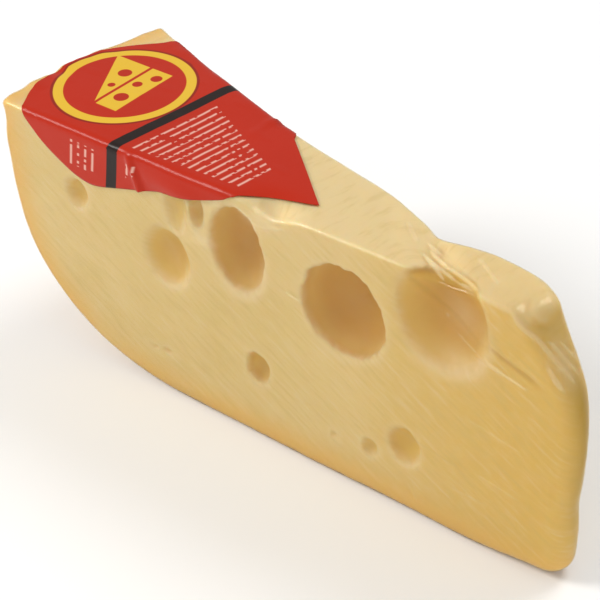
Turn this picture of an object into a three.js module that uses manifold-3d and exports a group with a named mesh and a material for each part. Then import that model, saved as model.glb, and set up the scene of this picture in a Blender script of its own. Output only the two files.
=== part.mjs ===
// A wedge of holed cheese, cut from a round wheel and sold in clear shrink film with a printed label.
// Units are millimetres and +Z is up. While a piece is shaped, the apex where the two cut faces meet is at
// x = y = 0, the rind is towards -X, and the flat underside of the cheese is at z = 0. The finished group
// is moved so that its box is centred on the origin and the film's underside is at z = 0.
import * as THREE from "three";
import { mergeVertices } from "three/addons/utils/BufferGeometryUtils.js";
import Module from "manifold-3d";

// The wheel and the wedge cut from it.
const WEDGE_ANGLE = THREE.MathUtils.degToRad(18); // between the two cut faces
const RIND_RADIUS = 163.6; // apex to the widest part of the rind
const RIND_MID_HEIGHT = 52; // where the rind is widest, half way up the wheel
const FLAT_RADIUS = 106; // the underside is flat from the tip to here, then curves up into the rind
const RIND_SQUARENESS = 2.35; // superellipse exponent of that curve
const APEX_HEIGHT = 69.8; // cut top face, above the underside, at the apex
const RIND_HEIGHT = 67.4; // and at the rind
const EDGE_RADIUS = 1.3; // long edges, softened by the film
const CORNER_LENGTH = 2; // upright corners between the cut faces and the rind

// The blunt tip, squeezed by the film, leans to the far side.
const TIP_RADIUS = 4.2;
const TIP_CENTRE_X = -3.4;
// How far the tip's outline is set back: [height, distance].
const TIP_SET_BACK = [
  [0, 2.6], [6, 1.6], [13, 1.3], [20, 1.7], [28, 0.8], [37, 0], [45, 0.1], [51, 1.2], [56, 4], [62, 7.5],
  [70, 11.6],
];
const TIP_REACH = 32; // the set-back fades out this far from the apex

// How far the far cut face stands out of its plane: [distance from the apex, bulge].
const FAR_FACE_BULGE = [
  [6, 8.0], [13, 7.6], [20, 8.3], [31, 5.9], [44, 1.0], [57, 2.0], [95, -1.6], [131, -2.1], [160, 0],
];
const WAVY_LENGTH = 96; // from the apex, at every height

// Clear film, then the label on it. Each lies over the one below with a small gap.
const SKIN_GAP = 0.3;
const FILM_THICKNESS = 0.3;
const LABEL_THICKNESS = 0.3;
const VENT_RADIUS = 1.5; // pin-hole that let the air out as the film shrank

// Eyes on a cut face: [distance from the apex, height, half-width, half-height, depth].
const NEAR_EYES = [
  [140.6, 49.3, 3.2, 3.7, 3.5], [112, 42.2, 5.9, 6.9, 5], [108.3, 57.5, 2.6, 3.5, 3], [101, 59.2, 2.7, 3.7, 3],
  [89.4, 53.9, 7.7, 11, 8], [58.8, 49.7, 11.7, 12, 9.5], [32.4, 55, 9.5, 10, 6.5], [77.5, 66, 4.5, 2.6, 2.2],
  [85.1, 21.2, 3.5, 4.6, 3.5], [42.3, 19, 3.9, 4.7, 3.5], [52.3, 13.5, 2, 2.2, 2], [62.3, 12, 1.2, 1.1, 1],
];
const FAR_EYES = [
  [146, 30, 4.6, 5.2, 4], [127, 52, 8.6, 8, 7], [124, 17, 2.4, 2.6, 2], [107, 27, 7.2, 8, 6],
  [100, 57, 3.2, 3.6, 3], [84, 42, 5.4, 6, 4.5], [70, 21, 8, 7.4, 5.5], [50, 36, 3.2, 3, 2.6],
  [40, 15, 2.4, 2.8, 2], [26, 30, 4.4, 5.4, 4],
];
const EYE_DETAIL = 2; // subdivisions of the icosahedron behind an eye
const BIG_EYE = 7; // half-width from which an eye has one more

// Label outline on the top face: [distance from the apex, distance from the near edge], then how far its
// two flaps hang down the cut faces: [distance from the apex, drop].
const LABEL_TOP = [
  [70.4, 7.3], [96, 28.4], [98.5, 30], [100.8, 36], [145, 50], [146, 44.8], [152, 41], [157, 37],
  [160, 33], [161.4, 27], [162, 19.5], [161.8, 13.2], [160, 6.2], [157, 1.6], [155, -4], [88, -4], [80, 3.8],
];
const LABEL_NEAR_FLAP = [
  [88.5, 0], [100, 4.1], [111, 6.5], [123, 10], [133, 13], [138.5, 12.8], [143, 10.8], [149, 6.8], [155.5, 0],
];
const LABEL_FAR_FLAP = [[145, 0], [141, 5], [131, 7.5], [118, 7], [106, 4.5], [101, 0]];

// Mesh fineness.
const UNDERSIDE_LEVELS = 9;
const WALL_HEIGHTS = [0.25, 0.5, 0.75]; // of the wall between the rind's middle and the top rounding
const EDGE_STEPS = 3;
const NEAR_STEPS = 5;
const FAR_STEPS = 15; // along the wavy stretch of the far face
const RIND_SIDE_STEPS = 4; // and from there to the rind
const RIND_STEPS = 8;
const CORNER_STEPS = 3;
const TIP_STEPS = 8;

const HALF_ANGLE = WEDGE_ANGLE / 2;
const NEAR_ALONG = new THREE.Vector2(-Math.cos(HALF_ANGLE), -Math.sin(HALF_ANGLE)); // apex to rind
const FAR_ALONG = new THREE.Vector2(-Math.cos(HALF_ANGLE), Math.sin(HALF_ANGLE));
const NEAR_OUT = new THREE.Vector2(Math.sin(HALF_ANGLE), -Math.cos(HALF_ANGLE));
const FAR_OUT = new THREE.Vector2(Math.sin(HALF_ANGLE), Math.cos(HALF_ANGLE));

const wasm = await Module();
wasm.setup();

// ---------------------------------------------------------------- solids

function toSolid(geometry) {
  const bare = geometry.clone();
  bare.deleteAttribute("normal");
  bare.deleteAttribute("uv");
  const merged = mergeVertices(bare, 1e-4);
  const mesh = new wasm.Mesh({
    numProp: 3,
    vertProperties: new Float32Array(merged.attributes.position.array),
    triVerts: new Uint32Array(merged.index.array),
  });
  return new wasm.Manifold(mesh);
}

function toGeometry(solid) {
  const mesh = solid.getMesh();
  const geometry = new THREE.BufferGeometry();
  geometry.setAttribute("position", new THREE.BufferAttribute(new Float32Array(mesh.vertProperties), 3));
  geometry.setIndex(new THREE.BufferAttribute(new Uint32Array(mesh.triVerts), 1));
  geometry.computeVertexNormals();
  return geometry;
}

// ---------------------------------------------------------------- the wedge's outer form

// A smooth curve through [x, y] points, as a function of x.
function smoothCurve(points) {
  const curve = new THREE.SplineCurve(points.map(([x, y]) => new THREE.Vector2(x, y)));
  const samples = curve.getPoints(200);
  return (x) => {
    const next = samples.findIndex((point) => point.x >= x);
    if (next === 0) return samples[0].y;
    if (next < 0) return samples[samples.length - 1].y;
    const a = samples[next - 1];
    const b = samples[next];
    return THREE.MathUtils.mapLinear(x, a.x, b.x, a.y, b.y);
  };
}

const farBulge = smoothCurve(FAR_FACE_BULGE); // of a distance from the apex
const tipSetBack = smoothCurve(TIP_SET_BACK); // of a height

// Height of the cut top face, as a share of its height at the apex.
function topShare(x) {
  return 1 + (x / RIND_RADIUS) * (1 - RIND_HEIGHT / APEX_HEIGHT);
}

// The horizontal levels that the wedge is lofted through, grown outwards by `grow`. `coreZ` and `coreRind`
// are the same level's height and rind radius before it is grown.
function levels(grow) {
  const list = [];
  const power = 2 / RIND_SQUARENESS;
  for (let i = 0; i <= UNDERSIDE_LEVELS; i += 1) {
    const turn = (Math.PI / 2) * (i / UNDERSIDE_LEVELS);
    const up = Math.cos(turn) ** power;
    const across = Math.sin(turn) ** power;
    list.push({
      z: RIND_MID_HEIGHT - (RIND_MID_HEIGHT + grow) * up,
      rind: FLAT_RADIUS + (RIND_RADIUS - FLAT_RADIUS + grow) * across,
      coreZ: RIND_MID_HEIGHT * (1 - up),
      coreRind: FLAT_RADIUS + (RIND_RADIUS - FLAT_RADIUS) * across,
    });
  }
  const shoulder = APEX_HEIGHT - EDGE_RADIUS;
  for (const share of WALL_HEIGHTS) {
    const z = THREE.MathUtils.lerp(RIND_MID_HEIGHT, shoulder, share);
    list.push({ z, rind: RIND_RADIUS + grow, coreZ: z, coreRind: RIND_RADIUS });
  }
  for (let i = 0; i <= EDGE_STEPS; i += 1) {
    const turn = (Math.PI / 2) * (i / EDGE_STEPS);
    const radius = EDGE_RADIUS + grow;
    list.push({
      z: shoulder + radius * Math.sin(turn),
      rind: RIND_RADIUS - EDGE_RADIUS + radius * Math.cos(turn),
      coreZ: shoulder + EDGE_RADIUS * Math.sin(turn),
      coreRind: RIND_RADIUS - EDGE_RADIUS * (1 - Math.cos(turn)),
    });
  }
  return list;
}

// How far a level's outline stands out of the cut faces: `grow`, less the rounding of the long edges.
function standOut(z, grow) {
  const radius = EDGE_RADIUS + grow;
  const above = z - (APEX_HEIGHT - EDGE_RADIUS);
  const below = EDGE_RADIUS - z;
  const rise = Math.min(Math.max(above, below, 0), radius);
  return Math.sqrt(radius ** 2 - rise ** 2) - EDGE_RADIUS;
}

function cornerPoints(from, corner, to) {
  const curve = new THREE.QuadraticBezierCurve(from, corner, to);
  return curve.getPoints(CORNER_STEPS);
}

// One level's outline, as plan points anticlockwise from the tip: far face, rind, near face, tip.
function outline(level, grow) {
  const out = standOut(level.z, grow);
  const tipY = -(TIP_RADIUS + NEAR_OUT.x * TIP_CENTRE_X) / NEAR_OUT.y; // touches the near face
  const farStart = FAR_FACE_BULGE[0][0];
  const straight = level.coreRind - CORNER_LENGTH;
  const points = [];

  for (let i = 0; i <= FAR_STEPS + RIND_SIDE_STEPS; i += 1) {
    const along = i <= FAR_STEPS
      ? THREE.MathUtils.lerp(farStart, WAVY_LENGTH, i / FAR_STEPS)
      : THREE.MathUtils.lerp(WAVY_LENGTH, straight, (i - FAR_STEPS) / RIND_SIDE_STEPS);
    const bulge = farBulge(along) + out;
    points.push(FAR_ALONG.clone().multiplyScalar(along).addScaledVector(FAR_OUT, bulge));
  }
  const cornerBulge = farBulge(level.coreRind) + out;
  const farEnd = HALF_ANGLE + (cornerBulge - CORNER_LENGTH) / level.rind;
  const nearEnd = -HALF_ANGLE - (out - CORNER_LENGTH) / level.rind;
  const onRind = (angle) => new THREE.Vector2(-level.rind * Math.cos(angle), level.rind * Math.sin(angle));
  const farCorner = FAR_ALONG.clone().multiplyScalar(level.rind).addScaledVector(FAR_OUT, cornerBulge);
  points.push(...cornerPoints(points[points.length - 1], farCorner, onRind(farEnd)).slice(1, -1));
  for (let i = 0; i <= RIND_STEPS; i += 1) {
    points.push(onRind(THREE.MathUtils.lerp(farEnd, nearEnd, i / RIND_STEPS)));
  }
  const nearCorner = NEAR_ALONG.clone().multiplyScalar(level.rind).addScaledVector(NEAR_OUT, out);
  const nearRind = NEAR_ALONG.clone().multiplyScalar(straight).addScaledVector(NEAR_OUT, out);
  points.push(...cornerPoints(onRind(nearEnd), nearCorner, nearRind).slice(1, -1));
  const tipCentre = new THREE.Vector2(TIP_CENTRE_X, tipY);
  const nearStart = tipCentre.clone().addScaledVector(NEAR_OUT, TIP_RADIUS + out);
  for (let i = 0; i <= NEAR_STEPS; i += 1) {
    points.push(nearRind.clone().lerp(nearStart, i / NEAR_STEPS));
  }
  const firstTurn = NEAR_OUT.angle() - 2 * Math.PI;
  const lastTurn = points[0].clone().sub(tipCentre).angle();
  for (let i = 1; i < TIP_STEPS; i += 1) {
    const turn = THREE.MathUtils.lerp(firstTurn, lastTurn, i / TIP_STEPS);
    const reach = THREE.MathUtils.lerp(TIP_RADIUS + out, points[0].distanceTo(tipCentre), i / TIP_STEPS);
    const spoke = new THREE.Vector2(Math.cos(turn), Math.sin(turn));
    points.push(tipCentre.clone().addScaledVector(spoke, reach));
  }
  const setBack = tipSetBack(level.coreZ);
  for (const point of points) {
    point.x -= setBack * THREE.MathUtils.smoothstep(point.x, -TIP_REACH, 0);
  }
  return points;
}

// The wedge without its eyes, grown outwards by `grow`, as one closed body.
function wedgeForm(grow) {
  const rings = levels(grow).map((level) => {
    const slopes = level.z > 0; // the underside stays flat under the sloping top
    return outline(level, grow).map((p) => {
      return new THREE.Vector3(p.x, p.y, level.z * (slopes ? topShare(p.x) : 1));
    });
  });
  const count = rings[0].length;
  const index = [];
  for (let i = 0; i + 1 < rings.length; i += 1) {
    for (let k = 0; k < count; k += 1) {
      const next = (k + 1) % count;
      const a = i * count + k;
      const b = i * count + next;
      index.push(a, b, b + count, a, b + count, a + count);
    }
  }
  const plan = rings.map((ring) => ring.map((p) => new THREE.Vector2(p.x, p.y)));
  const last = rings.length - 1;
  for (const [a, b, c] of THREE.ShapeUtils.triangulateShape(plan[0], [])) {
    index.push(a, c, b);
  }
  for (const [a, b, c] of THREE.ShapeUtils.triangulateShape(plan[last], [])) {
    index.push(last * count + a, last * count + b, last * count + c);
  }
  const geometry = new THREE.BufferGeometry();
  geometry.setFromPoints(rings.flat());
  geometry.setIndex(index);
  return toSolid(geometry);
}

// ---------------------------------------------------------------- cheese

function eyeSolid([along, height, halfWidth, halfHeight, depth], direction, outward, bulge) {
  const detail = halfWidth < BIG_EYE ? EYE_DETAIL : EYE_DETAIL + 1;
  const geometry = new THREE.IcosahedronGeometry(1, detail);
  geometry.scale(halfWidth, depth, halfHeight);
  geometry.rotateZ(Math.atan2(direction.y, direction.x));
  const centre = direction.clone().multiplyScalar(along).addScaledVector(outward, bulge);
  geometry.translate(centre.x, centre.y, height);
  return toSolid(geometry);
}

function cheeseSolid() {
  let solid = wedgeForm(0);
  for (const eye of NEAR_EYES) {
    solid = solid.subtract(eyeSolid(eye, NEAR_ALONG, NEAR_OUT, 0));
  }
  for (const eye of FAR_EYES) {
    solid = solid.subtract(eyeSolid(eye, FAR_ALONG, FAR_OUT, farBulge(eye[0])));
  }
  return solid;
}

// ---------------------------------------------------------------- film

function filmSolid() {
  const inner = wedgeForm(SKIN_GAP);
  const outer = wedgeForm(SKIN_GAP + FILM_THICKNESS);
  const vent = new THREE.CylinderGeometry(VENT_RADIUS, VENT_RADIUS, 4, 16);
  vent.rotateZ(Math.PI / 2);
  vent.translate(-RIND_RADIUS - 1, 0, RIND_MID_HEIGHT);
  return outer.subtract(inner).subtract(toSolid(vent));
}

// ---------------------------------------------------------------- label

function labelPrism(points, depth) {
  const shape = new THREE.Shape(points);
  return new THREE.ExtrudeGeometry(shape, { depth, bevelEnabled: false });
}

// A flap's cutter: its outline drawn on the cut face, extruded through the thin skins there.
function flapSolid(flap, direction, outward) {
  const reach = 12; // out of the face, and over the top edge
  const inside = EDGE_RADIUS + 1;
  const lower = flap.map(([along, drop]) => [along, APEX_HEIGHT * topShare(-along) - drop]);
  const ends = [lower[lower.length - 1][0], lower[0][0]];
  const upper = ends.map((along) => [along, APEX_HEIGHT + reach]);
  const geometry = labelPrism([...lower, ...upper].map(([along, z]) => new THREE.Vector2(along, z)), reach);
  const basis = new THREE.Matrix4().makeBasis(
    new THREE.Vector3(direction.x, direction.y, 0),
    new THREE.Vector3(0, 0, 1),
    new THREE.Vector3(outward.x, outward.y, 0),
  );
  geometry.translate(0, 0, -inside);
  geometry.applyMatrix4(basis);
  if (basis.determinant() < 0) {
    turnInsideOut(geometry);
  }
  return toSolid(geometry);
}

// Swaps the first and last corner of each triangle of a mesh that has no index.
function turnInsideOut(geometry) {
  const array = geometry.attributes.position.array;
  for (let i = 0; i < array.length; i += 9) {
    const first = array.slice(i, i + 3);
    array.copyWithin(i, i + 6, i + 9);
    array.set(first, i + 6);
  }
}

function labelSolid() {
  const under = wedgeForm(2 * SKIN_GAP + FILM_THICKNESS);
  const over = wedgeForm(2 * SKIN_GAP + FILM_THICKNESS + LABEL_THICKNESS);
  const skin = over.subtract(under);
  const plan = LABEL_TOP.map(([along, across]) => {
    return NEAR_ALONG.clone().multiplyScalar(along).addScaledVector(NEAR_OUT, -across);
  });
  const top = labelPrism(plan, 10);
  const slope = (APEX_HEIGHT - RIND_HEIGHT) / RIND_RADIUS;
  top.applyMatrix4(new THREE.Matrix4().set(1, 0, 0, 0, 0, 1, 0, 0, slope, 0, 1, 0, 0, 0, 0, 1));
  top.translate(0, 0, APEX_HEIGHT + 0.4);
  const reach = toSolid(top)
    .add(flapSolid(LABEL_NEAR_FLAP, NEAR_ALONG, NEAR_OUT))
    .add(flapSolid(LABEL_FAR_FLAP, FAR_ALONG, FAR_OUT));
  return skin.intersect(reach);
}

// ---------------------------------------------------------------- assembly

const cheeseMaterial = new THREE.MeshStandardMaterial({ color: 0xe0c28a, roughness: 0.45, metalness: 0 });
const filmMaterial = new THREE.MeshStandardMaterial({
  color: 0xf6f2e6, roughness: 0.12, metalness: 0, transparent: true, opacity: 0.2,
});
const labelMaterial = new THREE.MeshStandardMaterial({ color: 0xb8301b, roughness: 0.3, metalness: 0 });

const group = new THREE.Group();
function addPiece(name, solid, material) {
  const mesh = new THREE.Mesh(toGeometry(solid), material);
  mesh.name = name;
  group.add(mesh);
}
addPiece("cheese", cheeseSolid(), cheeseMaterial);
addPiece("film_wrap", filmSolid(), filmMaterial);
addPiece("label", labelSolid(), labelMaterial);

const box = new THREE.Box3().setFromObject(group);
const middle = box.getCenter(new THREE.Vector3());
group.position.set(-middle.x, -middle.y, -box.min.z);

export default group;
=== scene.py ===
"""A wedge of holed cheese in clear shrink film, with a plain printed label folded over its top edge.

Sizes are millimetres in the wedge's own frame until a mesh is made: the apex of the two cut faces is at
x = y = 0, the rind is towards -X, the near cut face is towards -Y and the cheese's underside is at z = 0.
"""

import math

import bpy
import numpy as np
import openvdb
from mathutils import Matrix, Vector
from mathutils.bvhtree import BVHTree


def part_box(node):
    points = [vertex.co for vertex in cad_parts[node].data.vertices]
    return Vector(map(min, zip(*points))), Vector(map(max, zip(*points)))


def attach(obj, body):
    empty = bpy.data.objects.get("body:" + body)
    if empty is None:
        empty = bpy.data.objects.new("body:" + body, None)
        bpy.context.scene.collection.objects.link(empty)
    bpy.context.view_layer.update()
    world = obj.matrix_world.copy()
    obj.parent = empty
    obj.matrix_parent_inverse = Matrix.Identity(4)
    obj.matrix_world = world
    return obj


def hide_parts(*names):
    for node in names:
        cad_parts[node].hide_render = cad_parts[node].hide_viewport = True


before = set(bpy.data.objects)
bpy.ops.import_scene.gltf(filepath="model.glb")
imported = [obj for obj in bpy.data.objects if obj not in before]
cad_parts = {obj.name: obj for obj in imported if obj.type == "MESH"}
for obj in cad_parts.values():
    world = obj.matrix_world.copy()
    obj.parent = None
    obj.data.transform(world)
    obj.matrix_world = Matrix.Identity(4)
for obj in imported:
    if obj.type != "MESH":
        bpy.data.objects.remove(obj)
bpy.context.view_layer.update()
MM = 0.001

# ---------------------------------------------------------------- driving dimensions, in millimetres

HALF_ANGLE = math.radians(9.0)
RIND_RADIUS = 164.0
RIND_MID_HEIGHT = 52.0
FLAT_RADIUS = 106.0
RIND_SQUARENESS = 2.35
APEX_HEIGHT = 70.3
RIND_HEIGHT = 67.9
SKIN = 0.2  # the film's outer surface stands this far off the cheese in the CAD model

EDGE_RADIUS = 1.3
CORNER_RADIUS = 1.5
TIP_RADIUS = 4.2
TIP_PROFILE = [  # how far the tip stands past the apex at each height
    (-6, -2.8), (0, -1.5), (6, -0.6), (13, -0.2), (20, -0.6), (28, 0.5), (37, 1.3), (45, 1.2), (51, 0.0),
    (56, -2.9), (62, -6.5), (69, -10.2), (78, -14.5),
]

FAR_FACE_BULGE = [
    (0, 7.0), (6, 8.0), (13, 7.6), (20, 8.3), (31, 5.9), (44, 1.0), (57, 2.0), (95, -1.6), (131, -2.1),
    (175, 0),
]

NEAR_ALONG = np.array([-math.cos(HALF_ANGLE), -math.sin(HALF_ANGLE)])
FAR_ALONG = np.array([-math.cos(HALF_ANGLE), math.sin(HALF_ANGLE)])
NEAR_OUT = np.array([math.sin(HALF_ANGLE), -math.cos(HALF_ANGLE)])
FAR_OUT = np.array([math.sin(HALF_ANGLE), math.cos(HALF_ANGLE)])

FILM_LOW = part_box("film_wrap")[0]
CHEESE_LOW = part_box("cheese")[0]
APEX = Vector((FILM_LOW.x + (RIND_RADIUS + SKIN) * MM, 0.0, CHEESE_LOW.z))

# Eyes: distance from the apex, height, half-width, half-height, depth, softness of the rim, raggedness.
NEAR_EYES = [
    (140.6, 49.4, 3.3, 3.9, 3.0, 1.6, 0.0),
    (112.0, 42.3, 6.4, 7.4, 4.6, 2.6, 0.1),
    (107.6, 58.0, 2.9, 6.0, 2.2, 2.2, 0.0),
    (101.2, 60.0, 2.4, 4.6, 3.6, 0.7, 0.1),
    (103.0, 65.0, 3.6, 3.4, 3.4, 0.8, 0.1),
    (89.2, 54.0, 7.9, 11.4, 8.0, 1.2, 0.25),
    (58.8, 49.9, 11.6, 12.0, 9.6, 0.7, 0.35),
    (32.2, 59.6, 11.0, 12.4, 7.2, 3.0, 0.2),
    (85.1, 21.4, 3.3, 4.5, 3.6, 0.7, 0.2),
    (42.3, 19.2, 4.0, 4.9, 2.9, 1.6, 0.1),
    (52.3, 13.7, 2.0, 2.3, 1.8, 0.8, 0.1),
    (62.6, 12.0, 0.9, 1.1, 0.9, 0.5, 0.0),
    (118.9, 12.2, 1.3, 0.7, 0.8, 0.5, 0.0),
    (114.8, 12.6, 1.5, 0.8, 0.9, 0.5, 0.0),
]
FAR_EYES = [
    (146, 30, 4.6, 5.2, 3.6, 1.4, 0.1),
    (127, 50, 8.8, 8.4, 7.0, 1.0, 0.3),
    (124, 17, 2.4, 2.6, 2.0, 0.8, 0.1),
    (107, 27, 7.4, 8.2, 6.0, 1.8, 0.2),
    (100, 57, 3.2, 3.6, 3.0, 1.2, 0.1),
    (84, 42, 5.4, 6.0, 4.5, 0.9, 0.2),
    (70, 21, 8.2, 7.6, 5.5, 1.4, 0.3),
    (50, 36, 3.2, 3.0, 2.6, 1.0, 0.1),
    (40, 15, 2.4, 2.8, 2.0, 0.8, 0.1),
    (26, 30, 4.4, 5.4, 4.0, 1.4, 0.1),
]

# Marks pressed or scratched into the near face: from, to (along, height), half-width, depth.
NEAR_CREASES = [
    ((21.5, 58.1), (5.5, 53.0), 0.9, 0.5),
    ((14.6, 70.5), (7.6, 65.0), 0.8, 0.6),
    ((11.6, 70.5), (5.4, 65.4), 0.7, 0.5),
    ((46.2, 21.6), (61.0, 17.8), 0.5, 0.16),
    ((60.0, 17.9), (76.0, 18.0), 0.5, 0.14),
    ((42.6, 9.5), (38.5, 2.4), 0.5, 0.22),
    ((3.0, 30.0), (3.6, 20.5), 0.8, 0.4),
]

VOXEL = 0.5
GRID_LOW = np.array([-170.0, -32.0, -4.0])
GRID_HIGH = np.array([7.0, 34.0, 76.0])


# ---------------------------------------------------------------- fields

def spline(points, steps=24):
    """Catmull-Rom curve through the points, as x and y arrays with x rising."""
    p = np.array([points[0], *points, points[-1]], dtype=float)
    xs, ys = [], []
    for i in range(1, len(p) - 2):
        for k in range(steps):
            t = k / steps
            weights = np.array([
                -t + 2 * t**2 - t**3, 2 - 5 * t**2 + 3 * t**3, t + 4 * t**2 - 3 * t**3, t**3 - t**2,
            ]) / 2
            x, y = weights @ p[i - 1:i + 3]
            xs.append(x)
            ys.append(y)
    xs.append(p[-1][0])
    ys.append(p[-1][1])
    return np.array(xs), np.array(ys)


BULGE_X, BULGE_Y = spline(FAR_FACE_BULGE)
TIP_HEIGHTS, TIP_STAND = spline(TIP_PROFILE)


def smooth(x, low, high):
    t = np.clip((x - low) / (high - low), 0, 1)
    return t * t * (3 - 2 * t)


def meet(a, b, radius):
    """Where two half-spaces overlap, with a rounded edge."""
    inside = np.minimum(-radius, np.maximum(a, b))
    return inside + np.hypot(np.maximum(a + radius, 0), np.maximum(b + radius, 0))


def soft_max(a, b, width):
    h = np.clip(0.5 + 0.5 * (a - b) / width, 0, 1)
    return b + (a - b) * h + width * h * (1 - h)


class Grid:
    """Regular points over the wedge, with their fields."""

    def __init__(self, voxel):
        self.voxel = voxel
        self.axes = [np.arange(GRID_LOW[i], GRID_HIGH[i], voxel, dtype=np.float32) for i in range(3)]
        self.shape = tuple(len(a) for a in self.axes)
        self.x, self.y, self.z = np.meshgrid(*self.axes, indexing="ij", sparse=True)

    def noise(self, size, seed, stretch=(1, 1, 1)):
        """Smooth random field from -1 to 1 whose blobs are about `size` across."""
        draw = np.random.default_rng(seed)
        spans = [size * s for s in stretch]
        counts = [int((a[-1] - a[0]) / s) + 3 for a, s in zip(self.axes, spans)]
        field = draw.uniform(-1, 1, counts).astype(np.float32)
        for axis, (points, span) in enumerate(zip(self.axes, spans)):
            at = (points - points[0]) / span
            low = at.astype(int)
            t = (at - low).astype(np.float32)
            t = t * t * (3 - 2 * t)
            shape = [1, 1, 1]
            shape[axis] = len(points)
            t = t.reshape(shape)
            field = np.take(field, low, axis) * (1 - t) + np.take(field, low + 1, axis) * t
        return field


def line_height(along, across, lines):
    """Height at points of soft straight ridges, each given as start, end, half-width and rise."""
    height = 0.0
    for (a, b), (c, d), half_width, rise in lines:
        length = math.hypot(c - a, d - b)
        run, climb = (c - a) / length, (d - b) / length
        t = (along - a) * run + (across - b) * climb
        off = (across - b) * run - (along - a) * climb
        fade = smooth(t, -1.0, 2.5) * smooth(length - t, -1.0, 4.0)
        height = height + rise * fade * np.exp(-((off / half_width) ** 2))
    return height


def top_height(x):
    return APEX_HEIGHT + (x / RIND_RADIUS) * (APEX_HEIGHT - RIND_HEIGHT)


def rind_distance(grid):
    """Distance outside the wheel's underside and rind."""
    around = np.hypot(grid.x, grid.y)
    u = np.maximum(around - FLAT_RADIUS, 0) / (RIND_RADIUS - FLAT_RADIUS)
    v = np.maximum(RIND_MID_HEIGHT - grid.z, 0) / RIND_MID_HEIGHT
    n = RIND_SQUARENESS
    g = np.maximum(u**n + v**n, 1e-6) ** (1 / n)
    slope = np.hypot(u ** (n - 1) / (RIND_RADIUS - FLAT_RADIUS), v ** (n - 1) / RIND_MID_HEIGHT)
    slope = np.maximum(slope * g ** (1 - n), 1 / (RIND_RADIUS - FLAT_RADIUS))
    return (g - 1) / slope


def wedge_field(grid):
    """Distance outside the wedge as the film wraps it, without its eyes."""
    x, y, z = grid.x, grid.y, grid.z
    near = x * NEAR_OUT[0] + y * NEAR_OUT[1]
    along_far = x * FAR_ALONG[0] + y * FAR_ALONG[1]
    far = x * FAR_OUT[0] + y * FAR_OUT[1] - np.interp(along_far, BULGE_X, BULGE_Y)
    from_top = top_height(x) - z

    tip = x - np.interp(z, TIP_HEIGHTS, TIP_STAND)

    lumps = 0.35 * grid.noise(26, 3) + 0.14 * grid.noise(11, 4)
    sides = meet(near, tip, TIP_RADIUS)
    sides = meet(sides, far, TIP_RADIUS - 0.6)
    rind = rind_distance(grid)
    body = meet(sides, rind, CORNER_RADIUS + 3.6 * smooth(x, -30, -4))

    # The top face: level, with a dip at the near edge over a broken eye and a saddle behind the tip.
    along_near = -(x * math.cos(HALF_ANGLE) + y * math.sin(HALF_ANGLE))
    broken = 2.2 * np.exp(-(((along_near - 79) / 6) ** 2) - (np.maximum(-near - 1, 0) / 4) ** 2)
    saddle_line = along_near - (33 + 0.9 * -near)
    saddle = 1.6 * np.exp(-((saddle_line / 6) ** 2)) * (0.3 + 0.7 * smooth(-near, 1, 9))
    shoulder = 1.2 * smooth(-along_near, -24, -4) * np.exp(-(np.maximum(-near, 0) / 5) ** 2)
    top = -(from_top - broken - saddle - shoulder)
    edge = EDGE_RADIUS + 1.5 * smooth(-along_near, -30, -8)
    body = meet(body, top, edge)
    creases = line_height(along_near, z, NEAR_CREASES) * smooth(near, -7, -2.5)
    gathers = 0.5 * grid.noise(3.4, 5, (2.2, 1, 2.2)) * smooth(np.hypot(x, y), 157, 163.5) * smooth(z, 46, 64)
    return body + lumps * 0.8 + creases + gathers


def eye_distance(grid, eye, along, out, bulge, wobble):
    s, height, half_width, half_height, depth, _, ragged = eye
    cx, cy = along * s + out * bulge
    dx, dy, dz = grid.x - cx, grid.y - cy, grid.z - height
    a = (dx * along[0] + dy * along[1]) / half_width
    b = (dx * out[0] + dy * out[1]) / depth
    c = dz / half_height
    k0 = np.sqrt(a * a + b * b + c * c)
    size = min(half_width, half_height)
    return (k0 - 1) * size * 0.92 + wobble * ragged


def window(grid, centre, reach):
    """Index slices of the grid's part around a point."""
    slices = []
    for axis, points in enumerate(grid.axes):
        low, high = np.searchsorted(points, [centre[axis] - reach, centre[axis] + reach])
        slices.append(slice(max(low, 0), min(high, len(points))))
    return tuple(slices)


class Part:
    """A box cut out of a grid, with the same names."""

    def __init__(self, grid, slices):
        self.axes = [points[s] for points, s in zip(grid.axes, slices)]
        self.x, self.y, self.z = np.meshgrid(*self.axes, indexing="ij", sparse=True)


# Each cut face: its eyes, the way along it, the way out of it and whether it bulges.
CUT_FACES = [
    (NEAR_EYES, NEAR_ALONG, NEAR_OUT, False),
    (FAR_EYES, FAR_ALONG, FAR_OUT, True),
]


def cut_eyes(grid, body):
    """The cheese's field, and the distance to the nearest eye's wall."""
    cheese = body.copy()
    nearest = np.full(body.shape, 9.0, dtype=np.float32)
    wobble = 1.2 * grid.noise(2.4, 11) + 1.2 * grid.noise(1.1, 12)
    for eyes, along, out, has_bulge in CUT_FACES:
        for eye in eyes:
            bulge = float(np.interp(eye[0], BULGE_X, BULGE_Y)) if has_bulge else 0.0
            cx, cy = along * eye[0] + out * bulge
            reach = max(eye[2:5]) + 5
            at = window(grid, (cx, cy, eye[1]), reach)
            part = Part(grid, at)
            ragged = wobble[at] * np.exp(-((body[at] / 1.6) ** 2))
            hole = eye_distance(part, eye, along, out, bulge, ragged)
            cheese[at] = soft_max(cheese[at], -hole, eye[5])
            nearest[at] = np.minimum(nearest[at], hole)
    return cheese, nearest


# ---------------------------------------------------------------- meshes

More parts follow.
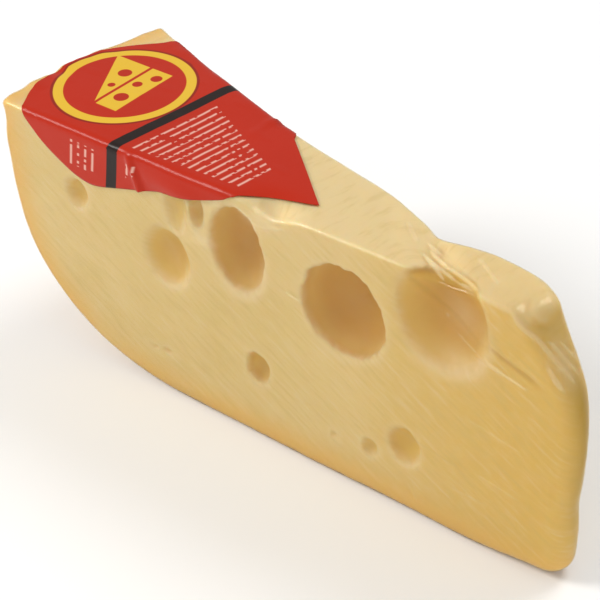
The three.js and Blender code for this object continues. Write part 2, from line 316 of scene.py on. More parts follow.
def mesh_from_field(name, grid, field, level):
    volume = openvdb.FloatGrid(background=3.0)
    volume.copyFromArray(np.clip(field, -3, 3).astype(np.float32))
    points, quads = volume.convertToQuads(isovalue=level)
    points = points.astype(np.float64) * grid.voxel + np.array([a[0] for a in grid.axes])
    mesh = bpy.data.meshes.new(name)
    mesh.vertices.add(len(points))
    mesh.vertices.foreach_set("co", to_row(points).ravel())
    mesh.loops.add(quads.size)
    mesh.loops.foreach_set("vertex_index", quads.ravel().astype(np.int32))
    mesh.polygons.add(len(quads))
    mesh.polygons.foreach_set("loop_start", np.arange(0, quads.size, 4, dtype=np.int32))
    mesh.polygons.foreach_set("use_smooth", np.ones(len(quads), dtype=bool))
    mesh.update()
    mesh.validate()
    item = bpy.data.objects.new(name, mesh)
    bpy.context.scene.collection.objects.link(item)
    return item


def to_row(points):
    """Wedge millimetres to the row's metres."""
    return points * MM + np.array(APEX)


def wedge_points(item):
    """A mesh's vertices in wedge millimetres."""
    co = np.empty(len(item.data.vertices) * 3)
    item.data.vertices.foreach_get("co", co)
    return (co.reshape(-1, 3) - np.array(APEX)) / MM


def vertex_normals(item):
    normals = np.empty(len(item.data.vertices) * 3)
    item.data.vertices.foreach_get("normal", normals)
    return normals.reshape(-1, 3)


def sample(grid, field, points):
    """A field's values at points, by trilinear interpolation."""
    low = np.array([a[0] for a in grid.axes])
    at = np.clip((points - low) / grid.voxel, 0, np.array(field.shape) - 1.001)
    i = at.astype(int)
    t = at - i
    total = np.zeros(len(points))
    for corner in range(8):
        step = np.array([corner & 1, corner >> 1 & 1, corner >> 2 & 1])
        weight = np.prod(np.where(step, t, 1 - t), axis=1)
        j = i + step
        total += weight * field[j[:, 0], j[:, 1], j[:, 2]]
    return total


def add_attribute(item, name, values):
    layer = item.data.attributes.new(name, "FLOAT", "POINT")
    layer.data.foreach_set("value", np.asarray(values, dtype=np.float32))


# ---------------------------------------------------------------- cheese

# Painted shade on the tip, where it turns away from the light: y, height, half-width, half-height, strength.
TIP_SHADES = [
    (4.2, 50.0, 2.6, 7.0, 0.7),
    (4.2, 40.0, 2.8, 12.0, 0.7),
    (4.0, 26.0, 2.6, 12.0, 0.5),
    (0.0, 66.0, 6.0, 2.6, 0.55),
]


def make_cheese(grid, body):
    cheese, nearest = cut_eyes(grid, body)
    skin_grain = 0.06 * grid.noise(1.6, 21) + 0.08 * grid.noise(3.4, 22, (1, 1, 1.6))
    item = mesh_from_field("cheese_body", grid, cheese + skin_grain, 0.0)
    points = wedge_points(item)
    depth = -sample(grid, body, points)
    rind = -sample(grid, np.broadcast_to(rind_distance(grid), grid.shape), points)
    add_attribute(item, "eye_depth", depth)
    add_attribute(item, "eye_wall", sample(grid, nearest, points))
    normals = vertex_normals(item)
    add_attribute(item, "top_face", smooth(normals[:, 2], 0.3, 0.9))
    band = patch_strength(points[:, 1], points[:, 2], TIP_SHADES)
    add_attribute(item, "tip_shade", band * smooth(-points[:, 0], 14, 6))
    # Where the film is tucked in, for painted shadow in the cheese's colour.
    near_along = -(points[:, 0] * math.cos(HALF_ANGLE) + points[:, 1] * math.sin(HALF_ANGLE))
    facing = smooth(-normals[:, :2] @ -NEAR_OUT, -0.2, 0.5)
    add_attribute(item, "tuck_shade", line_height(near_along, points[:, 2], NEAR_TUCK_SHADOWS) * facing)
    add_attribute(item, "rind_depth", rind)
    add_attribute(item, "along", -points[:, 0])
    add_attribute(item, "height", points[:, 2])
    item.data.materials.append(cheese_material())
    return item


# ---------------------------------------------------------------- film

FILM_GAP = 0.15
# Folds pulled tight in the film: from, to, half-width, height. Places on the near face are along and height,
# on the top face along and across.
NEAR_FOLDS = [
    ((24.0, 54.6), (9.0, 51.4), 0.5, 0.4),
    ((30.0, 58.0), (16.0, 53.2), 0.45, 0.25),
    ((14.6, 68.6), (8.2, 64.0), 0.5, 0.35),
    ((30.0, 14.5), (17.0, 14.0), 0.5, 0.18),
    ((26.0, 36.6), (9.0, 33.5), 0.5, 0.18),
    ((23.0, 22.0), (8.0, 19.5), 0.5, 0.18),
    ((46.0, 24.5), (26.0, 21.0), 0.5, 0.16),
    ((75.5, 48.8), (68.5, 47.8), 0.5, 0.3),
    ((88.0, 67.0), (80.5, 63.6), 0.5, 0.45),
    ((81.2, 63.7), (73.0, 66.6), 0.5, 0.45),
    ((83.0, 66.4), (77.5, 65.6), 0.45, 0.3),
    ((5.5, 66.0), (0.5, 56.5), 0.8, 0.28),
    ((3.2, 67.5), (-1.5, 58.0), 0.7, 0.25),
    ((7.0, 60.5), (2.0, 53.0), 0.7, 0.2),
]
TOP_FOLDS = [
    ((42.6, 7.7), (31.4, 0.9), 0.42, 0.45),
    ((40.9, 6.9), (29.0, 1.9), 0.42, 0.5),
    ((29.6, 2.1), (24.6, 1.3), 0.42, 0.45),
    ((42.3, 9.8), (33.8, 5.6), 0.42, 0.5),
    ((34.4, 5.9), (23.2, 1.5), 0.42, 0.55),
    ((44.5, 11.8), (37.0, 8.6), 0.5, 0.35),
    ((31.6, 12.1), (20.2, 4.8), 0.8, 0.2),
    ((52.0, 15.0), (44.0, 8.6), 1.1, 0.24),
    ((84.0, 0.6), (73.0, -0.2), 0.6, 0.45),
    ((74.0, 0.3), (41.0, 0.5), 0.7, 0.2),
    ((28.0, 0.6), (4.0, 1.0), 1.0, 0.16),
]
# On the tip's front: y and height.
TIP_FOLDS = [
    ((-0.6, 65.5), (4.2, 53.6), 0.55, 0.5),
    ((1.4, 64.5), (6.0, 54.8), 0.5, 0.45),
    ((-1.4, 60.5), (1.6, 52.6), 0.55, 0.5),
    ((3.6, 63.8), (7.2, 57.0), 0.5, 0.35),
    ((0.0, 31.0), (0.8, 20.0), 0.6, 0.25),
]
# Painted shadows: dark lines in the folds where the film is tucked in.
NEAR_TUCK_SHADOWS = [
    ((41.5, 68.6), (31.0, 62.4), 1.3, 0.8),
    ((33.0, 63.6), (21.0, 57.7), 1.0, 0.6),
    ((22.0, 58.2), (7.0, 53.1), 0.7, 0.35),
    ((15.2, 69.4), (9.0, 64.8), 0.6, 0.3),
    ((12.0, 69.0), (6.5, 64.2), 0.5, 0.25),
]
TOP_TUCK_SHADOWS = [
    ((42.4, 7.0), (32.0, 0.6), 0.45, 0.6),
    ((41.6, 8.4), (28.0, 2.2), 0.5, 0.75),
    ((40.5, 5.0), (34.0, 0.2), 0.6, 0.5),
]
# Milky places in the film over the near face: along, height, half-width, half-height, strength.
VEILS = [
    (26.5, 63.0, 5.0, 5.5, 0.1),
    (26.5, 50.5, 6.0, 3.6, 0.16),
    (80.0, 65.5, 4.5, 2.2, 0.3),
    (31.6, 60.7, 0.25, 0.35, 0.4),
    (99.0, 52.8, 3.0, 1.6, 0.25),
    (95.5, 66.0, 2.0, 2.4, 0.25),
]
HIGHLIGHT_RING_AT = 1.1  # the painted highlight ring low on an eye's right, as a share of its size
HIGHLIGHT_RING_WIDTH = 0.16
TIP_HIGHLIGHT = (3.0, 59.0, 2.4, 4.6, 0.2)  # a painted highlight on the tip's front, with the columns of the milky places: y, height and so on


def patch_strength(across, height, patches):
    total = np.zeros(len(across))
    for a, z, half_width, half_height, strength in patches:
        total += strength * np.exp(-(((across - a) / half_width) ** 2) - ((height - z) / half_height) ** 2)
    return total


# Milky places in the film, with a painted highlight ring low on each near eye's right.
def veil_strength(along, height):
    total = patch_strength(along, height, VEILS)
    for s, z, half_width, half_height, _, softness, _ in NEAR_EYES:
        right = (s - along) / half_width
        down = (z - height) / half_height
        reach = np.hypot(right, down)
        low_right = smooth((0.45 * right + 0.9 * down) / np.maximum(reach, 0.1), -0.1, 0.9)
        share = 0.17 if softness > 1.0 else 0.07
        total += share * low_right * np.exp(-(((reach - HIGHLIGHT_RING_AT) / HIGHLIGHT_RING_WIDTH) ** 2))
    return total


def film_field(grid, body):
    """The wrapped form, sunk a little into the wide eyes."""
    sunk = body.copy()
    for eyes, along, out, has_bulge in CUT_FACES:
        for eye in eyes:
            if eye[2] < 5:
                continue
            bulge = float(np.interp(eye[0], BULGE_X, BULGE_Y)) if has_bulge else 0.0
            cx, cy = along * eye[0] + out * bulge
            at = window(grid, (cx, cy, eye[1]), max(eye[2:5]) + 4)
            part = Part(grid, at)
            dx, dy, dz = part.x - cx, part.y - cy, part.z - eye[1]
            a = (dx * along[0] + dy * along[1]) / eye[2]
            c = dz / eye[3]
            b = (dx * out[0] + dy * out[1]) / 4.0
            sag = eye[2] * (0.17 if eye[5] > 2.0 else 0.10)
            sunk[at] += sag * np.maximum(1 - a * a - c * c, 0) ** 2 * np.exp(-b * b)
    return sunk


def make_film(grid, body):
    item = mesh_from_field("film_skin", grid, film_field(grid, body), FILM_GAP)
    points = wedge_points(item)
    normals = vertex_normals(item)
    along = -(points[:, 0] * math.cos(HALF_ANGLE) + points[:, 1] * math.sin(HALF_ANGLE))
    across = -(points[:, 0] * NEAR_OUT[0] + points[:, 1] * NEAR_OUT[1])
    on_near = smooth(-normals[:, :2] @ -NEAR_OUT, 0.3, 0.8)
    on_top = smooth(normals[:, 2], 0.2, 0.7)
    near_rise = line_height(along, points[:, 2], NEAR_FOLDS) * on_near
    top_rise = line_height(along, across, TOP_FOLDS) * on_top
    on_tip = smooth(normals[:, 0], 0.5, 0.9)
    rise = near_rise + top_rise + line_height(points[:, 1], points[:, 2], TIP_FOLDS) * on_tip
    points = points + normals * rise[:, None]
    item.data.vertices.foreach_set("co", to_row(points).ravel())
    item.data.update()
    # Where the film is tucked in, for the painted shadow in its material.
    tucks = line_height(along, points[:, 2], NEAR_TUCK_SHADOWS) * on_near
    add_attribute(item, "tuck", tucks + line_height(along, across, TOP_TUCK_SHADOWS) * on_top)
    add_attribute(item, "fold", rise)
    # Milky places and painted highlights in the film.
    veil_and_highlight = veil_strength(along, points[:, 2]) * on_near
    add_attribute(item, "veil_and_highlight", veil_and_highlight + patch_strength(points[:, 1], points[:, 2], [TIP_HIGHLIGHT]) * on_tip)
    add_attribute(item, "along", along)
    add_attribute(item, "height", points[:, 2])
    item.data.materials.append(film_material())
    return item


# ---------------------------------------------------------------- label

LABEL_LOW = [  # the label's near edge: along, across (below zero it hangs down the near face)
    (70.4, 7.3), (76.8, 5.0), (84.7, 1.9), (92.8, -1.9), (100.0, -4.3), (106.8, -6.0), (111.2, -6.7),
    (117.3, -8.7), (127.0, -11.5), (132.4, -13.0), (135.6, -13.2), (139.0, -12.5), (142.5, -11.0),
    (149.0, -7.0), (155.3, -1.1), (158.4, 3.4), (160.5, 8.0), (161.4, 13.0), (161.6, 17.5),
]
LABEL_HIGH = [  # and its far edge
    (70.4, 7.3), (79.8, 15.2), (89.2, 23.0), (95.6, 28.2), (98.6, 30.6), (101.0, 34.0), (105.0, 38.5),
    (113.0, 43.0), (125.0, 47.5), (135.0, 51.0), (141.0, 51.3), (145.2, 47.5), (149.4, 42.6), (154.4, 38.0),
    (158.0, 33.4), (160.3, 27.4), (161.3, 21.5), (161.6, 17.5),
]
LABEL_COLUMNS = 150
LABEL_ROWS = 120
LABEL_THICKNESS = 0.12
FOLD_RADIUS = 1.6
FOLD_REACH = 2.5  # the label closes in on the film from this far out, so that it wraps evenly over the folds
LEAST_LIFT = 0.18


def label_point(s, t):
    """Position and outward direction of a label point, on the top face or folded over a long edge."""
    radius = FOLD_RADIUS
    quarter = radius * math.pi / 4
    width = 2 * s * math.sin(HALF_ANGLE) + float(np.interp(s, BULGE_X, BULGE_Y))
    far_fold = width - 2 * radius + quarter
    up = np.array([0.0, 0.0, 1.0])
    x, y = NEAR_ALONG * s
    edge = np.array([x, y, top_height(x)])
    near = np.array([*NEAR_OUT, 0.0])
    if t < quarter:
        side, gone, across = near, quarter - t, radius
    elif t < far_fold:
        return edge - near * (radius + t - quarter), up
    else:
        side, gone, across = np.array([*FAR_OUT, 0.0]), t - far_fold, width - radius
    centre = edge - near * across - up * radius
    turn = max(math.pi / 2 - gone / radius, 0.0)
    hang = max(gone - radius * math.pi / 2, 0.0)
    out = side * math.cos(turn) + up * math.sin(turn)
    return centre + out * radius - up * hang, out


def label_lift(s, t):
    """How far the label stands off the film: a crease and a loose bulge on its flap, and slight waves."""
    crease_at = 119.5 + 0.35 * (t + 4)
    crease = 0.9 * math.exp(-(((s - crease_at) / 1.1) ** 2)) * float(smooth(-t, -2.5, 3.0))
    valley = -0.25 * math.exp(-(((s - crease_at + 2.2) / 1.0) ** 2)) * float(smooth(-t, -1.5, 3.0))
    bulge = 1.1 * math.exp(-(((s - 105) / 8) ** 2) - (((t + 4.2) / 3.2) ** 2))
    corner = 0.35 * math.exp(-(((s - 102) / 1.3) ** 2) - (((t - 29) / 6) ** 2))
    wave = 0.06 * math.sin(0.35 * s + 0.2 * t) + 0.05 * math.sin(0.9 * t - 0.12 * s)
    return max(crease + valley + bulge + corner + wave + 0.12, LEAST_LIFT)


def make_label(film):
    tree = BVHTree.FromPolygons([v.co for v in film.data.vertices], [p.vertices for p in film.data.polygons])
    low_x, low_y = spline(LABEL_LOW, 12)
    high_x, high_y = spline(LABEL_HIGH, 12)
    first, last = LABEL_LOW[0][0], LABEL_LOW[-1][0]
    points, places = [], []
    for i in range(LABEL_COLUMNS + 1):
        share = math.sin(math.pi / 2 * i / LABEL_COLUMNS)
        s = first + (last - first) * share
        t_low, t_high = np.interp(s, low_x, low_y), np.interp(s, high_x, high_y)
        for k in range(LABEL_ROWS + 1):
            t = t_low + (t_high - t_low) * k / LABEL_ROWS
            point, out = label_point(s, t)
            hit, normal = tree.find_nearest(Vector(to_row(point + np.asarray(out) * FOLD_REACH)))[:2]
            points.append(hit + (normal + Vector(out)).normalized() * label_lift(s, t) * MM)
            places.append((s, t))
    row = LABEL_ROWS + 1
    faces = []
    for i in range(LABEL_COLUMNS):
        for k in range(LABEL_ROWS):
            a = i * row + k
            faces.append((a, a + 1, a + row + 1, a + row))
    mesh = bpy.data.meshes.new("label_sheet")
    mesh.from_pydata(points, [], faces)
    item = bpy.data.objects.new("label_sheet", mesh)
    bpy.context.scene.collection.objects.link(item)
    add_attribute(item, "along", [p[0] for p in places])
    add_attribute(item, "across", [p[1] for p in places])
    weld_ends(item)
    thick = item.modifiers.new("thickness", "SOLIDIFY")
    thick.thickness = LABEL_THICKNESS * MM
    thick.offset = 1.0
    apply_modifiers(item)
    item.data.polygons.foreach_set("use_smooth", np.ones(len(item.data.polygons), dtype=bool))
    item.data.materials.append(label_material())
    return item


def weld_ends(item):
    """Merges the coinciding points where the label's two edges meet."""
    weld = item.modifiers.new("weld", "WELD")
    weld.merge_threshold = 0.00003
    apply_modifiers(item)


def apply_modifiers(item):
    graph = bpy.context.evaluated_depsgraph_get()
    mesh = bpy.data.meshes.new_from_object(item.evaluated_get(graph))
    item.modifiers.clear()
    item.data = mesh


# ---------------------------------------------------------------- materials

class Nodes:
    """Short ways to write a material's nodes."""

    def __init__(self, name):
        self.material = bpy.data.materials.new(name)
        self.material.use_nodes = True
        self.tree = self.material.node_tree
        self.tree.nodes.clear()

    def add(self, kind, settings=None, **inputs):
        node = self.tree.nodes.new("ShaderNode" + kind)
        for key, value in (settings or {}).items():
            setattr(node, key, value)
        for key, value in inputs.items():
            self.feed(node, key.replace("_", " "), value)
        return node

    def feed(self, node, socket, value):
        target = node.inputs[int(socket) if socket.isdigit() else socket]
        if isinstance(value, bpy.types.NodeSocket):
            self.tree.links.new(value, target)
        else:
            target.default_value = value

    def math(self, operation, a, b=0.0, c=0.0):
        node = self.tree.nodes.new("ShaderNodeMath")
        node.operation = operation
        for i, value in enumerate((a, b, c)):
            self.feed(node, str(i), value)
        return node.outputs[0]

    def ramp(self, value, low, high):
        """0 below low, 1 above high and smooth between."""
        node = self.tree.nodes.new("ShaderNodeMapRange")
        node.interpolation_type = "SMOOTHSTEP"
        self.feed(node, "Value", value)
        self.feed(node, "From Min", low)
        self.feed(node, "From Max", high)
        return node.outputs[0]

    def mix(self, factor, a, b):
        node = self.tree.nodes.new("ShaderNodeMix")
        node.data_type = "RGBA"
        self.feed(node, "0", factor)
        for socket, value in ((node.inputs[6], a), (node.inputs[7], b)):
            if isinstance(value, bpy.types.NodeSocket):
                self.tree.links.new(value, socket)
            else:
                socket.default_value = (*value, 1.0)
        return node.outputs[2]

    def attribute(self, name):
        node = self.tree.nodes.new("ShaderNodeAttribute")
        node.attribute_name = name
        return node.outputs["Fac"]

    def place(self, scale=(1.0, 1.0, 1.0), turn=(0.0, 0.0, 0.0)):
        """Object position in metres, turned and stretched."""
        where = self.add("TexCoord").outputs["Object"]
        turned = self.add("Mapping", Vector=where, Rotation=turn).outputs[0]
        return self.add("Mapping", Vector=turned, Scale=scale).outputs[0]

    def noise(self, scale, detail=4.0, roughness=0.5, where=None):
        node = self.add("TexNoise", Scale=scale, Detail=detail, Roughness=roughness)
        self.feed(node, "Vector", where or self.place())
        return node.outputs["Fac"]

    def finish(self, shader):
        out = self.tree.nodes.new("ShaderNodeOutputMaterial")
        self.tree.links.new(shader, out.inputs["Surface"])
        return self.material


def cheese_material():
    n = Nodes("cheese_paste")
    eye = n.attribute("eye_depth")
    wall = n.attribute("eye_wall")
    rind = n.attribute("rind_depth")
    along = n.attribute("along")
    height = n.attribute("height")

    clouds = n.ramp(n.noise(34, 3, 0.55), 0.3, 0.7)
    paste = n.mix(clouds, (0.82, 0.63, 0.265), (0.87, 0.68, 0.325))
    high = n.ramp(height, 58.0, 70.0)
    paste = n.mix(n.math("MULTIPLY", high, 0.35), paste, (0.87, 0.70, 0.38))
    # Painted light: the upward-facing top face is painted paler, as lit from above.
    paste = n.mix(n.math("MULTIPLY", n.attribute("top_face"), 0.7), paste, (0.93, 0.76, 0.45))
    # Painted shade and glow: the side faces turn deeper orange towards the thin tip, where light shines
    # through the cheese and falls off along the face.
    tip_glow_shade = n.ramp(along, 74.0, 4.0)
    tip_glow_shade = n.math("MULTIPLY", tip_glow_shade, n.math("MULTIPLY_ADD", n.attribute("top_face"), -0.7, 1.0))
    paste = n.mix(n.math("MULTIPLY", tip_glow_shade, 0.85), paste, (0.83, 0.55, 0.115))
    # Painted shade towards the bottom of the faces, deepest along the last few millimetres above the floor.
    low = n.math("MULTIPLY", n.ramp(height, 17.0, 0.0), n.ramp(n.noise(30, 2), 0.25, 0.7))
    paste = n.mix(n.math("MULTIPLY", low, 0.45), paste, (0.74, 0.54, 0.17))
    paste = n.mix(n.math("MULTIPLY", n.ramp(height, 4.6, 0.3), 0.75), paste, (0.42, 0.30, 0.12))
    grain = n.ramp(n.noise(420, 3, 0.6), 0.35, 0.7)
    paste = n.mix(n.math("MULTIPLY", grain, 0.10), paste, (0.90, 0.74, 0.45))

    # Fine slanting marks left by the cutting wire.
    marks = n.noise(110, 3, 0.6, n.place((1.0, 1.0, 8.0), (0.0, math.radians(-31), 0.0)))
    paste = n.mix(n.math("MULTIPLY", n.ramp(marks, 0.5, 0.72), 0.30), paste, (0.90, 0.74, 0.46))
    paste = n.mix(n.math("MULTIPLY", n.ramp(marks, 0.5, 0.3), 0.30), paste, (0.70, 0.53, 0.19))

    near_rind = n.ramp(rind, 11.0, 0.0)
    near_rind = n.math("MULTIPLY", near_rind, n.ramp(n.noise(26, 2), 0.05, 0.55))
    paste = n.mix(n.math("MULTIPLY", near_rind, 0.8), paste, (0.90, 0.57, 0.15))
    crust = n.ramp(rind, 2.2, 0.2)
    paste = n.mix(n.math("MULTIPLY", crust, 0.8), paste, (0.66, 0.40, 0.13))

    # Painted shade on the tip, where it turns away from the light.
    paste = n.mix(n.attribute("tip_shade"), paste, (0.60, 0.38, 0.05))
    # Painted shadow in the folds where the film is tucked in.
    tuck_shadow_share = n.math("MULTIPLY", n.ramp(n.attribute("tuck_shade"), 0.0, 0.9), 0.75)
    paste = n.mix(tuck_shadow_share, paste, (0.46, 0.22, 0.03))

    # The eyes: a painted highlight on the rim, and painted shade that deepens the colour inside.
    rim_highlight = n.math("MULTIPLY", n.ramp(wall, 2.4, 0.6), n.ramp(eye, 1.2, 0.0))
    paste = n.mix(n.math("MULTIPLY", rim_highlight, 0.22), paste, (0.90, 0.74, 0.45))
    paste = n.mix(n.math("MULTIPLY", n.ramp(eye, 0.3, 2.5), 0.75), paste, (0.80, 0.53, 0.11))
    paste = n.mix(n.math("MULTIPLY", n.ramp(eye, 2.0, 7.0), 0.8), paste, (0.66, 0.34, 0.045))

    bump_small = n.noise(700, 3, 0.6)
    bump_wide = n.noise(160, 3, 0.5)
    rough = n.math("MULTIPLY_ADD", bump_small, 0.4, bump_wide)
    bump = n.add("Bump", Strength=0.12, Distance=0.0006, Height=rough)

    shader = n.add("BsdfPrincipled", Base_Color=paste, Normal=bump.outputs[0])
    shader.inputs["Roughness"].default_value = 0.5
    shader.inputs["Specular IOR Level"].default_value = 0.2
    shader.inputs["Subsurface Weight"].default_value = 0.4
    shader.inputs["Subsurface Radius"].default_value = (1.0, 0.62, 0.25)
    shader.inputs["Subsurface Scale"].default_value = 0.003
    return n.finish(shader.outputs[0])


FILM_SHINE = 0.62  # share of the reflection that plain clear film would have
HAZE_LIMIT = 0.23  # the film stays mostly clear, however milky and however bright its painted highlights


def film_material():
    n = Nodes("clear_film")
    fold = n.attribute("fold")
    crinkle = n.noise(140, 4, 0.55, n.place((1.0, 1.0, 3.0), (0.0, math.radians(-31), 0.0)))
    broad = n.noise(45, 2, 0.5)
    height = n.math("MULTIPLY_ADD", crinkle, 0.5, broad)
    bump = n.add("Bump", Strength=0.35, Distance=0.0012, Height=height).outputs[0]
    edge = n.add("Fresnel", IOR=1.42, Normal=bump).outputs[0]
    gloss = n.add("BsdfGlossy", Color=(1.0, 0.95, 0.82, 1.0), Roughness=0.16, Normal=bump)
    clear = n.add("BsdfTransparent", Color=(0.985, 0.985, 0.975, 1.0))
    shine = n.math("MULTIPLY", edge, FILM_SHINE)
    lacquer = n.add("MixShader", **{"0": shine, "1": clear.outputs[0], "2": gloss.outputs[0]})
    milk_and_highlight_layer = n.add("BsdfDiffuse", Color=(1.0, 0.88, 0.60, 1.0))
    # Painted highlights on the folds, on the rings low on the eyes' right and on the tip's front, with the
    # film's own milkiness, as a pale diffuse layer.
    highlight_and_milk = n.math("MAXIMUM", n.math("MULTIPLY", n.ramp(fold, 0.06, 0.5), 0.5), n.attribute("veil_and_highlight"))
    share = n.math("MINIMUM", n.math("ADD", highlight_and_milk, 0.012), HAZE_LIMIT)
    skin = n.add("MixShader", **{"0": share, "1": lacquer.outputs[0], "2": milk_and_highlight_layer.outputs[0]})
    # Painted shadow: a dark diffuse layer along the folds where the film is tucked in.
    shade = n.add("BsdfDiffuse", Color=(0.44, 0.22, 0.03, 1.0))
    tuck_shadow_share = n.math("MULTIPLY", n.ramp(n.attribute("tuck"), 0.0, 1.1), 0.2)
    skin = n.add("MixShader", **{"0": tuck_shadow_share, "1": skin.outputs[0], "2": shade.outputs[0]})
    return n.finish(skin.outputs[0])


RED = (0.43, 0.020, 0.005)
YELLOW = (0.72, 0.45, 0.035)
INK = (0.018, 0.010, 0.008)
PALE = (0.80, 0.47, 0.38)
BADGE = (142.3, 21.4)  # centre of the badge on the label
BADGE_RADIUS = 17.6
RING_WIDTH = 2.5
STRIPE_AT = 125.8  # where the stripe crosses the near edge
STRIPE_LEAN = -0.17
STRIPE_WIDTH = 3.3
ROW_PITCH = 2.35


def label_material():
    n = Nodes("label_print")
    s = n.attribute("along")
    t = n.attribute("across")
    stripe = n.math("SUBTRACT", n.math("SUBTRACT", s, STRIPE_AT), n.math("MULTIPLY", t, STRIPE_LEAN))

    dx = n.math("SUBTRACT", s, BADGE[0])
    dy = n.math("SUBTRACT", t, BADGE[1])
    radius = n.math("SQRT", n.math("ADD", n.math("POWER", dx, 2.0), n.math("POWER", dy, 2.0)))
    soft = 0.12

    def band(value, low, high):
        after = n.ramp(value, low - soft, low + soft)
        return n.math("MULTIPLY", after, n.ramp(value, high + soft, high - soft))

    color = n.mix(n.noise(30, 2), RED, tuple(1.12 * c for c in RED))
    color = n.mix(band(radius, BADGE_RADIUS - RING_WIDTH, BADGE_RADIUS), color, YELLOW)
    color = n.mix(n.math("MULTIPLY", band(radius, BADGE_RADIUS, BADGE_RADIUS + 0.7), 0.45), color, INK)
    color = n.mix(wedge_sign(n, dx, dy, band), color, YELLOW)
    color = n.mix(wedge_holes(n, dx, dy), color, RED)
    color = n.mix(band(stripe, -STRIPE_WIDTH / 2, STRIPE_WIDTH / 2), color, INK)
    color = n.mix(n.math("MULTIPLY", print_rows(n, stripe, t, band), 0.85), color, PALE)

    shader = n.add("BsdfPrincipled", Base_Color=color)
    shader.inputs["Roughness"].default_value = 0.36
    shader.inputs["Specular IOR Level"].default_value = 0.12
    shader.inputs["Coat Weight"].default_value = 0.1
    shader.inputs["Coat Roughness"].default_value = 0.12
    wrinkle = n.noise(110, 3, 0.5)
    n.feed(shader, "Normal", n.add("Bump", Strength=0.15, Distance=0.0008, Height=wrinkle).outputs[0])
    return n.finish(shader.outputs[0])


def wedge_sign(n, dx, dy, band):
    """A plain wedge of cheese: a triangle over a bar."""
    across, up = dy, dx
    # The slope runs from the left end of the bar to the top right corner.
    slope = n.math("SUBTRACT", n.math("MULTIPLY_ADD", across, 0.55, 6.2), up)
    top = n.math("MULTIPLY", n.ramp(slope, -0.12, 0.12), band(up, 0.9, 13.0))
    top = n.math("MULTIPLY", top, band(across, -10.2, 10.2))
    bar = n.math("MULTIPLY", band(up, -6.6, 0.0), band(across, -10.2, 10.2))
    return n.math("MAXIMUM", top, bar)


HOLES = [(-4.6, -3.2, 1.9), (2.2, -2.2, 1.3), (6.8, -4.3, 1.5), (4.6, 4.2, 1.8), (-1.6, 2.9, 1.0)]


def wedge_holes(n, dx, dy):
    total = 0.0
    for x, y, size in HOLES:
        away_x = n.math("SUBTRACT", dy, x)
        away_y = n.math("SUBTRACT", dx, y)
        away = n.math("SQRT", n.math("ADD", n.math("POWER", away_x, 2.0), n.math("POWER", away_y, 2.0)))
        total = n.math("MAXIMUM", total, n.ramp(away, size + 0.12, size - 0.12))
    return total


# Blocks of pale broken rows, where small print would be: distance past the stripe to the first row (below
# zero towards the rind), number of rows, and each row's ends across the label for the first and last row.
PRINT_BLOCKS = [
    (3.6, 14, (1.4, 27.0), (2.6, 13.0)),
    (3.9, 2, (-7.5, -2.6), (-6.0, -2.4)),
    (-14.2, 4, (-9.5, -2.0), (-9.8, -2.4)),
]


def print_rows(n, stripe, t, band):
    past = n.math("MULTIPLY", stripe, -1.0)
    total = 0.0
    for start, count, first, last in PRINT_BLOCKS:
        row = n.math("DIVIDE", n.math("SUBTRACT", past, start), ROW_PITCH)
        line = band(n.math("FRACT", row), 0.3, 0.56)
        share = n.math("DIVIDE", row, float(max(count - 1, 1)))
        near_end = n.math("MULTIPLY_ADD", share, last[0] - first[0], first[0])
        far_end = n.math("MULTIPLY_ADD", share, last[1] - first[1], first[1])
        within = n.math("MULTIPLY", n.ramp(row, -0.02, 0.02), n.ramp(row, count + 0.02, count - 0.02))
        within = n.math("MULTIPLY", within, n.ramp(n.math("SUBTRACT", t, near_end), 0.0, 0.2))
        within = n.math("MULTIPLY", within, n.ramp(n.math("SUBTRACT", far_end, t), 0.0, 0.2))
        total = n.math("MAXIMUM", total, n.math("MULTIPLY", line, within))
    number = n.math("FLOOR", n.math("DIVIDE", past, ROW_PITCH))
    cell = n.math("FLOOR", n.math("MULTIPLY_ADD", t, 1.3, n.math("MULTIPLY", number, 0.37)))
    place = n.add("CombineXYZ", X=cell, Y=number, Z=0.0)
    pieces = n.add("TexWhiteNoise", {"noise_dimensions": "2D"}, Vector=place.outputs[0])
    return n.math("MULTIPLY", total, n.ramp(pieces.outputs["Value"], 0.25, 0.27))


# ---------------------------------------------------------------- stage

def make_floor():
    bpy.ops.mesh.primitive_plane_add(size=6.0, location=(0, 0, 0))
    floor = bpy.context.object
    floor.name = "floor"
    n = Nodes("floor_paper")
    tone = n.mix(n.noise(3, 3), (0.93, 0.93, 0.925), (0.95, 0.95, 0.945))
    shader = n.add("BsdfPrincipled", Base_Color=tone, Roughness=0.8)
    floor.data.materials.append(n.finish(shader.outputs[0]))


def aim(item, target):
    item.rotation_mode = "QUATERNION"
    item.rotation_quaternion = (Vector(target) - item.location).to_track_quat("-Z", "Y")


def make_light(name, place, size, power, color=(1, 1, 1)):
    data = bpy.data.lights.new(name, "AREA")
    data.shape = "DISK"
    data.size = size
    data.energy = power
    data.color = color
    item = bpy.data.objects.new(name, data)
    item.location = place
    bpy.context.scene.collection.objects.link(item)
    aim(item, (0, 0, 0.03))


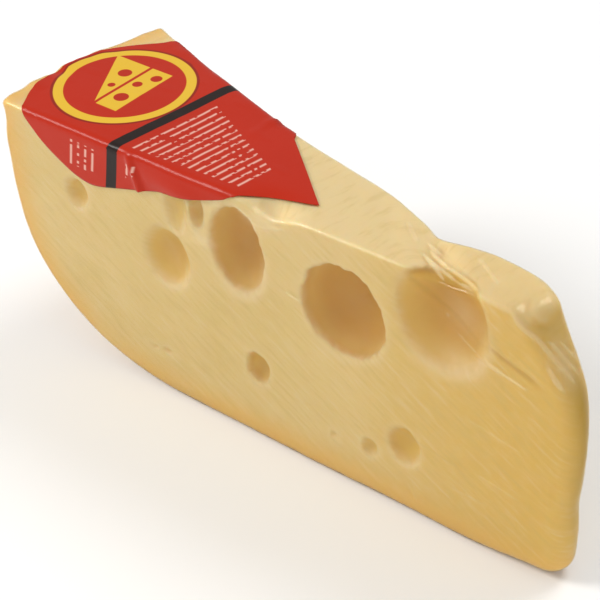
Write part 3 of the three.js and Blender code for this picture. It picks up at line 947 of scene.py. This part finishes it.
def make_lights():
    make_light("key", (-0.62, -0.62, 0.70), 0.4, 7.1, (1.0, 0.98, 0.95))
    make_light("fill", (0.75, -0.65, 0.45), 0.7, 1.6)
    make_light("back", (0.1, 0.6, 0.9), 0.5, 3.8)
    world = bpy.data.worlds.new("soft_room")
    world.use_nodes = True
    world.node_tree.nodes["Background"].inputs["Color"].default_value = (1.0, 1.0, 1.0, 1.0)
    world.node_tree.nodes["Background"].inputs["Strength"].default_value = 0.49
    bpy.context.scene.world = world


CAMERA_AZIMUTH = math.radians(49.87)
CAMERA_ELEVATION = math.radians(37.15)
CAMERA_ROLL = math.radians(-3.14)
CAMERA_DISTANCE = 458.6
CAMERA_TARGET = np.array([-90.2, 6.0, 28.0])
CAMERA_LENS = 114.0


def make_camera():
    data = bpy.data.cameras.new("camera")
    data.sensor_width = 36.0
    data.lens = CAMERA_LENS
    data.clip_start = 0.01
    camera = bpy.data.objects.new("camera", data)
    bpy.context.scene.collection.objects.link(camera)
    az, el = CAMERA_AZIMUTH, CAMERA_ELEVATION
    back = Vector((math.sin(az) * math.cos(el), -math.cos(az) * math.cos(el), math.sin(el)))
    right = Vector((math.cos(az), math.sin(az), 0.0))
    up = back.cross(right)
    cos_roll, sin_roll = math.cos(CAMERA_ROLL), math.sin(CAMERA_ROLL)
    rolled_right = right * cos_roll + up * sin_roll
    rolled_up = up * cos_roll - right * sin_roll
    turn = Matrix((rolled_right, rolled_up, back)).transposed()
    place = Vector(to_row(CAMERA_TARGET)) + back * CAMERA_DISTANCE * MM
    camera.matrix_world = Matrix.Translation(place) @ turn.to_4x4()
    bpy.context.scene.camera = camera


def build():
    grid = Grid(VOXEL)
    body = np.ascontiguousarray(np.broadcast_to(wedge_field(grid), grid.shape))
    cheese = make_cheese(grid, body)
    film = make_film(grid, body)
    label = make_label(film)
    pieces = [
        (cheese, "cheese", "cheese"),
        (film, "film_wrap", "film"),
        (label, "label", "label"),
    ]
    for piece, node, slot in pieces:
        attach(piece, "root")
        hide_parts(node)


make_camera()
make_floor()
make_lights()
build()
bpy.context.scene.view_settings.view_transform = "Standard"
